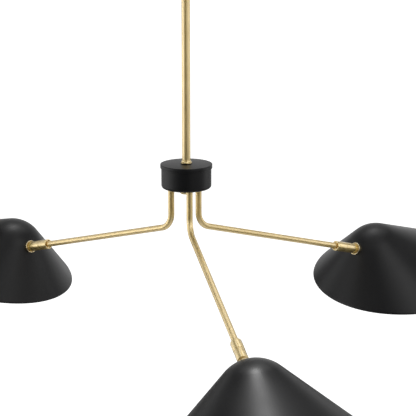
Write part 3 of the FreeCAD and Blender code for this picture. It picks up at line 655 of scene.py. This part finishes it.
def makeSwivel(arm, alongArm, swivel):
    corners = [(swivel["wireHole"], swivel["threadStart"]),
               (swivel["thread"], swivel["threadStart"]),
               (swivel["thread"], swivel["spindleStart"]),
               (swivel["spindle"], swivel["spindleStart"]), (swivel["spindle"], swivel["seam"]),
               (swivel["radius"], swivel["seam"], swivel["seamRounding"]),
               (swivel["radius"], swivel["shoulder"], swivel["shoulderRounding"]),
               (swivel["neck"], swivel["neckHeight"])]
    corners += ballArc(swivel["ball"], swivel["ballCentre"], swivel["neck"], swivel["wireHole"],
                       swivel["ballSteps"])
    piece = lathePiece("swivel_" + arm + "_ball", corners, alongArm, brassTurned)
    # The ball beyond the stem, down in the ring's recess, takes a darker brass: painted shade for
    # the recess
    piece.data.materials.append(brassBallPaintedShade)
    toStem = alongArm.inverted()
    for polygon in piece.data.polygons:
        if (toStem @ polygon.center).z > swivel["paintedShadeFrom"] * mm:
            polygon.material_index = 1
    settle(piece, "swivel_" + arm, "brass", "swivel_" + arm)


# Shades

shadeShape = {
    "nose": 56.8, "noseHeight": 58.458, "cone": 47, "lean": 17.4, "wall": 1.0, "standoff": 3.2,
    "hole": 10.12, "holeDepth": 12, "lipHeight": 5.0, "lipDepth": 0.6, "sharpAngle": 40,
    "sides": 256, "peakSteps": 20, "flankSteps": 40, "lipSteps": 5, "edgeSteps": 6,
}


def shadeFlank(angle, inset, look):
    # One side of the leaning cone: where it touches the peak's ball, its foot and its slope
    half, lean = math.radians(look["cone"]), math.radians(look["lean"])
    down = Vector((math.sin(lean), 0, -math.cos(lean)))
    aside = Vector((math.cos(lean), 0, math.sin(lean))) * math.cos(angle)
    aside += Vector((0, 1, 0)) * math.sin(angle)
    toTouch = (aside * math.cos(half) - down * math.sin(half)) * (look["nose"] - inset)
    touch = Vector((0, 0, look["noseHeight"])) + toTouch
    slope = down * math.cos(half) + aside * math.sin(half)
    return touch, touch - slope * (touch.z / slope.z), slope


def makeShade(arm, place, alongRing, look):
    half, lean = math.radians(look["cone"]), math.radians(look["lean"])
    upward = Vector((-math.sin(lean), 0, math.cos(lean)))
    centre = Vector((0, 0, look["noseHeight"]))
    angles = [2 * math.pi * side / look["sides"] for side in range(look["sides"])]

    def peakRows(inset):
        # From the pole down to where the ball becomes a cone
        ball = look["nose"] - inset
        found = [[place @ ((centre + upward * ball) * mm)]]
        for step in range(1, look["peakSteps"] + 1):
            rise = math.pi / 2 - (math.pi / 2 - half) * step / look["peakSteps"]
            row = []
            for angle in angles:
                touch = shadeFlank(angle, inset, look)[0]
                aside = (touch - centre - upward * ball * math.sin(half)).normalized()
                point = centre + upward * ball * math.sin(rise) + aside * ball * math.cos(rise)
                row.append(place @ (point * mm))
            found.append(row)
        return found

    def flankRow(inset, share=None, reach=None):
        # A share of the way down the side, or a distance up from the edge, where the lip turns in
        row = []
        for angle in angles:
            touch, foot, slope = shadeFlank(angle, inset, look)
            if share is not None:
                reach = (foot - touch).length * (1 - share) + look["lipHeight"] * share
            turnIn = look["lipDepth"] * max(0, 1 - reach / look["lipHeight"]) ** 2
            outward = Vector((slope.x, slope.y, 0)).normalized()
            row.append(place @ ((foot - slope * reach - outward * turnIn) * mm))
        return row

    def wallRows(inset):
        # One face of the wall, from the pole to the edge
        found = peakRows(inset)
        for step in range(1, look["flankSteps"] + 1):
            found.append(flankRow(inset, share=step / look["flankSteps"]))
        for step in range(1, look["lipSteps"]):
            found.append(flankRow(inset, reach=look["lipHeight"] * (1 - step / look["lipSteps"])))
        return found

    rows = wallRows(0)
    # The cut edge is rounded over half the wall's thickness
    edge = look["wall"] / 2
    for step in range(1, look["edgeSteps"]):
        angle = math.pi * step / look["edgeSteps"]
        rows.append(flankRow(edge - edge * math.cos(angle), reach=edge - edge * math.sin(angle)))
    outerRows = len(rows)
    rows += reversed(wallRows(look["wall"]))
    piece = skinPiece("shade_" + arm + "_bowl", rows, False, shadeBlack)
    piece.data.materials.append(shadeWhite)
    for polygon in piece.data.polygons:
        polygon.material_index = 1 if polygon.index // look["sides"] >= outerRows else 0
    cutHole(piece, alongRing, look)
    settle(piece, "shade_body_" + arm, "black_paint", "shade_" + arm)


def cutHole(piece, alongRing, look):
    # The hole for the ring's spigot
    radius, depth = look["hole"], look["holeDepth"]
    tool = lathePiece("ring_hole", [(0, -depth), (radius, -depth), (radius, depth), (0, depth)],
                      alongRing, shadeBlack, closed=False)
    cut = piece.modifiers.new("hole", "BOOLEAN")
    cut.object = tool
    cut.operation = "DIFFERENCE"
    cut.solver = "EXACT"
    bpy.context.view_layer.update()
    evaluated = piece.evaluated_get(bpy.context.evaluated_depsgraph_get())
    holed = bpy.data.meshes.new_from_object(evaluated)
    piece.modifiers.clear()
    piece.data = holed
    holed.set_sharp_from_angle(angle=math.radians(look["sharpAngle"]))
    bpy.data.objects.remove(tool)


# Heights along the ring's axis, inward from the ball's centre
shadeRing = {
    "bore": 9.06, "lip": 9.3, "lipStart": -1.6, "front": -2.3, "flange": 10.6, "flangeEnd": 5.6,
    "spigot": 10.1, "end": 12, "lipRounding": 0.2, "rimRounding": 0.6, "sides": 128, "steps": 8,
    "sharpAngle": 40,
}


def makeRing(arm, alongRing, ring):
    corners = [(ring["bore"], ring["end"]), (ring["bore"], ring["lipStart"]),
               (ring["lip"], ring["front"], ring["lipRounding"]),
               (ring["flange"], ring["front"], ring["rimRounding"]),
               (ring["flange"], ring["flangeEnd"]), (ring["spigot"], ring["flangeEnd"]),
               (ring["spigot"], ring["end"])]
    piece = lathePiece("shade_" + arm + "_ring", corners, alongRing, brassRimPaintedHighlight,
                       sides=ring["sides"], steps=ring["steps"], sharpAngle=ring["sharpAngle"])
    settle(piece, "shade_body_" + arm, "brass", "shade_ring_" + arm)


holderCap = {
    "wireHole": 3, "seat": 12.02, "spigotBore": 10.12, "skirtStart": 9.44, "radius": 12.5,
    "shoulder": 15.02, "nipple": 5, "end": 21.02, "skirtRounding": 0.3, "shoulderRounding": 0.4,
}


def makeHolderCap(arm, alongRing, cap):
    corners = [(cap["wireHole"], cap["seat"]), (cap["spigotBore"], cap["seat"]),
               (cap["spigotBore"], cap["skirtStart"]),
               (cap["radius"], cap["skirtStart"], cap["skirtRounding"]),
               (cap["radius"], cap["shoulder"], cap["shoulderRounding"]),
               (cap["nipple"], cap["shoulder"]), (cap["nipple"], cap["end"]),
               (cap["wireHole"], cap["end"])]
    piece = lathePiece("holder_" + arm + "_cap", corners, alongRing, zincSteel)
    settle(piece, "shade_body_" + arm, "steel", "holder_carrier_" + arm)


lampHolder = {
    "nippleHole": 5.02, "start": 15.04, "radius": 14, "end": 55.02, "baseBore": 6.97,
    "floor": 25.02, "shoulderRounding": 4, "rimRounding": 0.8, "mouthRounding": 0.6,
}


def makeLampHolder(arm, alongRing, holder):
    corners = [(holder["nippleHole"], holder["start"]),
               (holder["radius"], holder["start"], holder["shoulderRounding"]),
               (holder["radius"], holder["end"], holder["rimRounding"]),
               (holder["baseBore"], holder["end"], holder["mouthRounding"]),
               (holder["baseBore"], holder["floor"]), (holder["nippleHole"], holder["floor"])]
    piece = lathePiece("lamp_" + arm + "_holder", corners, alongRing, holderBlack)
    settle(piece, "shade_body_" + arm, "holder_plastic", "lamp_holder_" + arm)


bulbGlobe = {
    "neckBore": 7.6, "neck": 8.5, "start": 57.06, "shoulder": 15, "shoulderHeight": 63.77,
    "globe": 22.5, "centre": 80.54, "globeSteps": 32, "glass": 0.9, "innerShare": 0.96,
    "neckRounding": 0.3, "shoulderRounding": 4,
}


def makeBulb(arm, alongRing, bulb):
    neck = [(bulb["neckBore"], bulb["start"]), (bulb["neck"], bulb["start"], bulb["neckRounding"]),
            (bulb["shoulder"], bulb["shoulderHeight"], bulb["shoulderRounding"])]
    globe = ballArc(bulb["globe"], bulb["centre"], bulb["shoulder"], 0, bulb["globeSteps"])
    inner = [(max(radius - bulb["glass"], 0),
              bulb["centre"] + (height - bulb["centre"]) * bulb["innerShare"])
             for radius, height in reversed(globe)]
    piece = lathePiece("bulb_" + arm + "_globe", neck + globe + inner, alongRing, opalGlass)
    settle(piece, "shade_body_" + arm, "bulb_glass", "bulb_glass_" + arm)


# How each shade leans away from its arm's own line, in degrees
shadeAttitudes = {
    "right": {"tilt": -8.6, "roll": 8.2, "yaw": 5.2},
    "left": {"tilt": -12.5, "roll": 5.6, "yaw": -5.5},
    "front": {"tilt": 5.2, "roll": 4.8, "yaw": 2.3},
}


def placeShade(attitude, ball, outward, sideways, along):
    # The shade's own frame, and the ring's, whose axis goes through the ball's centre
    turns = {name: math.radians(value) for name, value in attitude.items()}
    stance = Matrix.Rotation(turns["yaw"], 3, up) @ Matrix.Rotation(turns["roll"], 3, along)
    stance = stance @ Matrix.Rotation(turns["tilt"], 3, sideways)
    stance = stance @ framed(Vector(), outward, sideways, up).to_3x3()
    angle = math.radians(shadeShape["cone"] - shadeShape["lean"])
    inward = Vector((math.cos(angle), 0, -math.sin(angle)))
    nose = Vector((0, 0, shadeShape["noseHeight"]))
    ballHome = nose - inward * (shadeShape["nose"] + shadeShape["standoff"])
    place = stance.to_4x4()
    place.translation = ball - stance @ (ballHome * mm)
    across = Vector((0, 1, 0))
    return place, place @ framed(ballHome * mm, across, inward.cross(across), inward)


def makeArm(arm):
    turn = joints["shade_turn_" + arm]
    along = Vector(turn["axis"]).normalized()
    outward = Vector((along.x, along.y, 0)).normalized()
    sideways = up.cross(outward)
    makeArmTube(arm, Vector(joints["arm_swing_" + arm]["pos_m"]), outward, armTube)
    mouth = Vector(turn["pos_m"]) - along * (armSleeve["length"] * mm)
    alongArm = framed(mouth, sideways, along.cross(sideways), along)
    makeSleeve(arm, alongArm, armSleeve)
    makeSwivel(arm, alongArm, ballSwivel)
    ball = Vector(joints["shade_tilt_" + arm]["pos_m"])
    place, alongRing = placeShade(shadeAttitudes[arm], ball, outward, sideways, along)
    makeShade(arm, place, alongRing, shadeShape)
    makeRing(arm, alongRing, shadeRing)
    makeHolderCap(arm, alongRing, holderCap)
    makeLampHolder(arm, alongRing, lampHolder)
    makeBulb(arm, alongRing, bulbGlobe)


for armName in armNames:
    makeArm(armName)
    print("arm made:", armName)


# Nodes that stay as they are get the same finishes, also where each arm has its own

carriedOver = {
    "hub_cup": hubBlack, "crossbar": zincSteel, "crossbar_nipple": zincSteel,
    "upper_nut": zincSteel, "lower_nut": zincSteel, "lid_nut": zincSteel,
    "tie_nipple": zincSteel, "hub_bush": nylon, "stop_collar": zincSteel,
    "swivel_nut": zincSteel, "wall_saddle": zincSteel, "ball_seat": nylon,
    "bulb_base": bulbMetal,
}
for nodeName, node in frame["nodes"].items():
    kind, _, arm = nodeName.rpartition("_")
    finish = carriedOver.get(kind if arm in armNames else nodeName)
    if finish:
        node.data.materials.clear()
        node.data.materials.append(finish)
print("carried-over pieces finished")


# Floor, light and camera: lengths in metres, angles in degrees

def seenDirectly(tree):
    # 1 where the camera sees a surface, also in a reflection or through glass
    path = tree.nodes.new("ShaderNodeLightPath").outputs
    return mathNode(tree, "MAXIMUM", path["Is Camera Ray"],
                    mathNode(tree, "MAXIMUM", path["Is Glossy Ray"], path["Is Transmission Ray"]))


paleFloor = {"height": -2.45, "size": 60, "colour": (0.8, 0.8, 0.8, 1), "glow": 0.8}


def makeFloor(look):
    mesh = bpy.data.meshes.new("floor")
    half, z = look["size"] / 2, look["height"]
    corners = [(-half, -half, z), (half, -half, z), (half, half, z), (-half, half, z)]
    mesh.from_pydata(corners, [], [(0, 1, 2, 3)])
    floor = addObject("floor", mesh)
    material, tree, shader = newMaterial("floorWhite", Base_Color=look["colour"],
                                         Specular_IOR_Level=0)
    glow = tree.nodes.new("ShaderNodeEmission")
    glow.inputs["Strength"].default_value = look["glow"]
    both = tree.nodes.new("ShaderNodeAddShader")
    feed(tree, shader.outputs[0], both.inputs[0])
    feed(tree, glow.outputs[0], both.inputs[1])
    mix = tree.nodes.new("ShaderNodeMixShader")
    for number, source in enumerate((seenDirectly(tree), shader.outputs[0], both.outputs[0])):
        feed(tree, source, mix.inputs[number])
    feed(tree, mix.outputs[0], tree.nodes["Material Output"].inputs["Surface"])
    mesh.materials.append(material)


paleRoom = {"colour": (1, 1, 1, 1), "light": 0.55}


def makeWorld(look):
    # White to the camera and in reflections, and softer as light
    world = bpy.data.worlds.new("studio")
    bpy.context.scene.world = world
    world.use_nodes = True
    tree = world.node_tree
    background = tree.nodes["Background"]
    strength = mathNode(tree, "MAXIMUM", seenDirectly(tree), look["light"])
    feed(tree, strength, background.inputs["Strength"])
    background.inputs["Color"].default_value = look["colour"]


def heading(azimuth, elevation):
    # Azimuth 0 is the camera's side
    turn, rise = math.radians(azimuth), math.radians(elevation)
    flat = math.cos(rise)
    return Vector((math.sin(turn) * flat, -math.cos(turn) * flat, math.sin(rise)))


# A tent of glowing panels, seen only in reflections. Below the horizon it stops short of the floor
lightTent = {"centre": (0, 0, -0.6), "radius": 2.9, "bottom": -2.4, "facet": 5}
# Each row is a band of elevation, and each panel has two azimuths and a glow
tentRows = [
    {"bottom": -90, "top": -50, "panels": [(-180, 180, 0.65)]},
    {"bottom": -50, "top": -25, "panels": [
        (-180, 0, 0.2), (0, 60, 0.6), (60, 120, 0.15), (120, 180, 0.7)]},
    {"bottom": -25, "top": -8, "panels": [
        (-180, -160, 0.3), (-160, -135, 0.85), (-135, -115, 0.7), (-115, -90, 1.55),
        (-90, -65, 0.4), (-65, 90, 0), (90, 115, 1.1), (115, 135, 0.55), (135, 160, 0.45),
        (160, 180, 0.55)]},
    {"bottom": -8, "top": 8, "panels": [
        (-180, -160, 0.65), (-160, -135, 0.05), (-135, -115, 1.2), (-115, -90, 1.35),
        (-90, -65, 2.8), (-65, -40, 1.15), (-40, -15, 0.25), (-15, 15, 0), (15, 65, 0.6),
        (65, 90, 1), (90, 115, 1.2), (115, 135, 0.35), (135, 160, 0.7), (160, 180, 0.9)]},
    {"bottom": 8, "top": 28, "panels": [
        (-180, -160, 0.7), (-160, -135, 0.45), (-135, -60, 0.8), (-60, -20, 0.35), (-20, 20, 0),
        (20, 60, 0.85), (60, 90, 0.7), (90, 115, 1.6), (115, 135, 0.3), (135, 180, 0.65)]},
    {"bottom": 28, "top": 48, "panels": [
        (-180, -140, 0.35), (-140, -100, 0.25), (-100, -60, 0.35), (-60, -25, 0.6), (-25, 0, 0.5),
        (0, 25, 1.2), (25, 60, 2.3), (60, 100, 0.4), (100, 140, 0.2), (140, 180, 0.5)]},
    {"bottom": 48, "top": 62, "panels": [
        (-180, -120, 1.1), (-120, -75, 0), (-75, -12, 0.75), (-12, 12, 0.6), (12, 40, 1.05),
        (40, 75, 0.8), (75, 120, 0), (120, 180, 1.65)]},
    {"bottom": 62, "top": 76, "panels": [
        (-180, -150, 1.65), (-150, -90, 1.25), (-90, -20, 0.6), (-20, 20, 0.35), (20, 90, 0.85),
        (90, 150, 1), (150, 180, 1.75)]},
    {"bottom": 76, "top": 90, "panels": [
        (-180, -90, 0.7), (-90, 0, 0.55), (0, 90, 0.45), (90, 180, 0.65)]},
]


def makeTent(look, rows):
    centre = Vector(look["centre"])
    depth = centre.z - look["bottom"]
    points, faces, glows = [], [], []
    for row in rows:
        low, high = row["bottom"], row["top"]
        steps = max(1, round((high - low) / look["facet"]))
        for start, end, glow in row["panels"]:
            columns = max(1, round((end - start) / look["facet"]))
            first = len(points)
            for step in range(steps + 1):
                elevation = low + (high - low) * step / steps
                for column in range(columns + 1):
                    toward = heading(start + (end - start) * column / columns, elevation)
                    reach = look["radius"]
                    if toward.z < 0:
                        reach = min(reach, depth / -toward.z)
                    points.append(centre + toward * reach)
            for step in range(steps):
                for column in range(columns):
                    corner = first + step * (columns + 1) + column
                    above = corner + columns + 1
                    faces.append((corner, corner + 1, above + 1, above))
                    glows.append(glow)
    mesh = bpy.data.meshes.new("tent")
    mesh.from_pydata(points, [], faces)
    mesh.attributes.new("glow", "FLOAT", "FACE").data.foreach_set("value", glows)
    material, tree, shader = newMaterial(
        "tent", Specular_IOR_Level=0, Base_Color=(0, 0, 0, 1), Emission_Color=(1, 1, 1, 1))
    # Reflections find the panels by themselves, so they aren't sampled as lamps
    material.cycles.emission_sampling = "NONE"
    glowing = tree.nodes.new("ShaderNodeAttribute")
    glowing.attribute_name = "glow"
    feed(tree, glowing.outputs["Fac"], shader.inputs["Emission Strength"])
    mesh.materials.append(material)
    piece = addObject("tent", mesh)
    piece.visible_camera = False
    piece.visible_diffuse = False
    piece.visible_shadow = False
    piece.visible_transmission = False


# Soft boxes round the object, and one facing each shade's peak that lights that shade alone
lamps = {
    "topFront": {"azimuth": 2, "elevation": 72, "distance": 2.1, "size": 0.8, "radiance": 5.0},
    "topBack": {"azimuth": -165, "elevation": 72, "distance": 2.1, "size": 1.1, "radiance": 3.0},
    "rightHigh": {"azimuth": 50, "elevation": 54, "distance": 2.2, "size": 0.8, "radiance": 3.5},
    "frontFill": {"azimuth": 12, "elevation": 18, "distance": 2.5, "size": 2.0, "radiance": 1.5},
    "peakFront": {"peak": (0.096, -0.432, -0.603), "toward": (-0.027, 0.203, 0.979),
                  "shade": "front", "distance": 2.2, "size": 0.58, "radiance": 33.0},
    "peakLeft": {"peak": (-0.311, 0.25, -0.587), "toward": (0.04, 0.252, 0.967),
                 "shade": "left", "distance": 2.2, "size": 0.7, "radiance": 5.8},
    "peakRight": {"peak": (0.324, 0.234, -0.59), "toward": (-0.102, 0.33, 0.939),
                  "shade": "right", "distance": 2.2, "size": 0.7, "radiance": 3.5},
}


def makeLamp(name, look):
    # Radiance sets the power, and only a peak's lamp shows in reflections
    light = bpy.data.lights.new(name, "AREA")
    light.size = look["size"]
    light.energy = look["radiance"] * math.pi * light.size ** 2
    lamp = addObject(name, light)
    if "shade" in look:
        centre, away = Vector(look["peak"]), Vector(look["toward"])
        lit = bpy.data.collections.new(name + "Lit")
        lit.objects.link(bpy.data.objects["shade_" + look["shade"] + "_bowl"])
        lamp.light_linking.receiver_collection = lit
    else:
        centre, away = Vector(lightTent["centre"]), heading(look["azimuth"], look["elevation"])
    lamp.location = centre + away * look["distance"]
    lamp.rotation_euler = (-away).to_track_quat("-Z", "Y").to_euler()
    lamp.visible_camera = False
    lamp.visible_glossy = "shade" in look


cameraView = {
    "location": (0.034, -2.219, 0.0662), "pitch": 75.96, "lens": 125.29, "sensor": 36,
    "clipEnd": 200,
}


def makeCamera(view):
    camera = bpy.data.cameras.new("camera")
    camera.lens = view["lens"]
    camera.sensor_width = view["sensor"]
    camera.clip_end = view["clipEnd"]
    viewer = addObject("camera", camera)
    viewer.location = view["location"]
    viewer.rotation_euler = (math.radians(view["pitch"]), 0, 0)
    bpy.context.scene.camera = viewer


makeFloor(paleFloor)
makeWorld(paleRoom)
makeTent(lightTent, tentRows)
for lampName, lampLook in lamps.items():
    makeLamp(lampName, lampLook)
makeCamera(cameraView)
bpy.context.scene.view_settings.view_transform = "Standard"
print("stage made")
